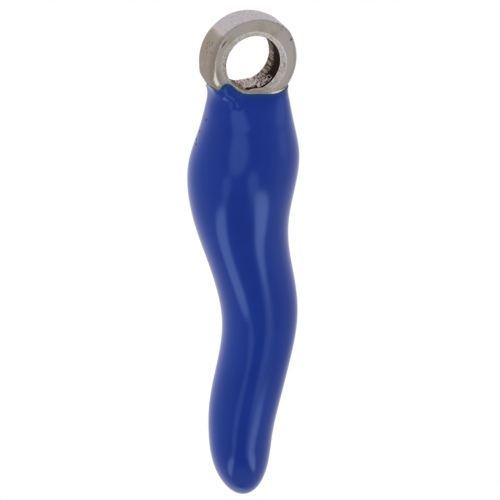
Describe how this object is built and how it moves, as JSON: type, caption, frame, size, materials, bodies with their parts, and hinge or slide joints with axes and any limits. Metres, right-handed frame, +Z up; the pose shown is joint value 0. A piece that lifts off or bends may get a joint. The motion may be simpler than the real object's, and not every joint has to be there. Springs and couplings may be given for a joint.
{
  "type": "chili pepper charm",
  "caption": "Wavy blue enamelled metal pepper charm hanging from a thick bevelled metal eye that takes a jump ring or cord.",
  "frame": {"origin": "centre of the eye's bore", "axes": "+Y along the bore from the front to the back, +Z up, the pepper hangs towards -Z, and the S curve lies in the XZ plane"},
  "size_m": [0.005, 0.0038, 0.0223],
  "materials": {
    "plated_eye": "worn bright plating, polished on the bevels",
    "cast_core": "as cast, under the enamel",
    "blue_enamel": "glossy fired enamel",
    "rough_solder": "rough and grainy"
  },
  "bodies": {
    "root": {"eye_ring": "plated_eye", "pepper_core": "cast_core", "enamel_coat": "blue_enamel", "solder_bed": "rough_solder"}
  },
  "joints": []
}
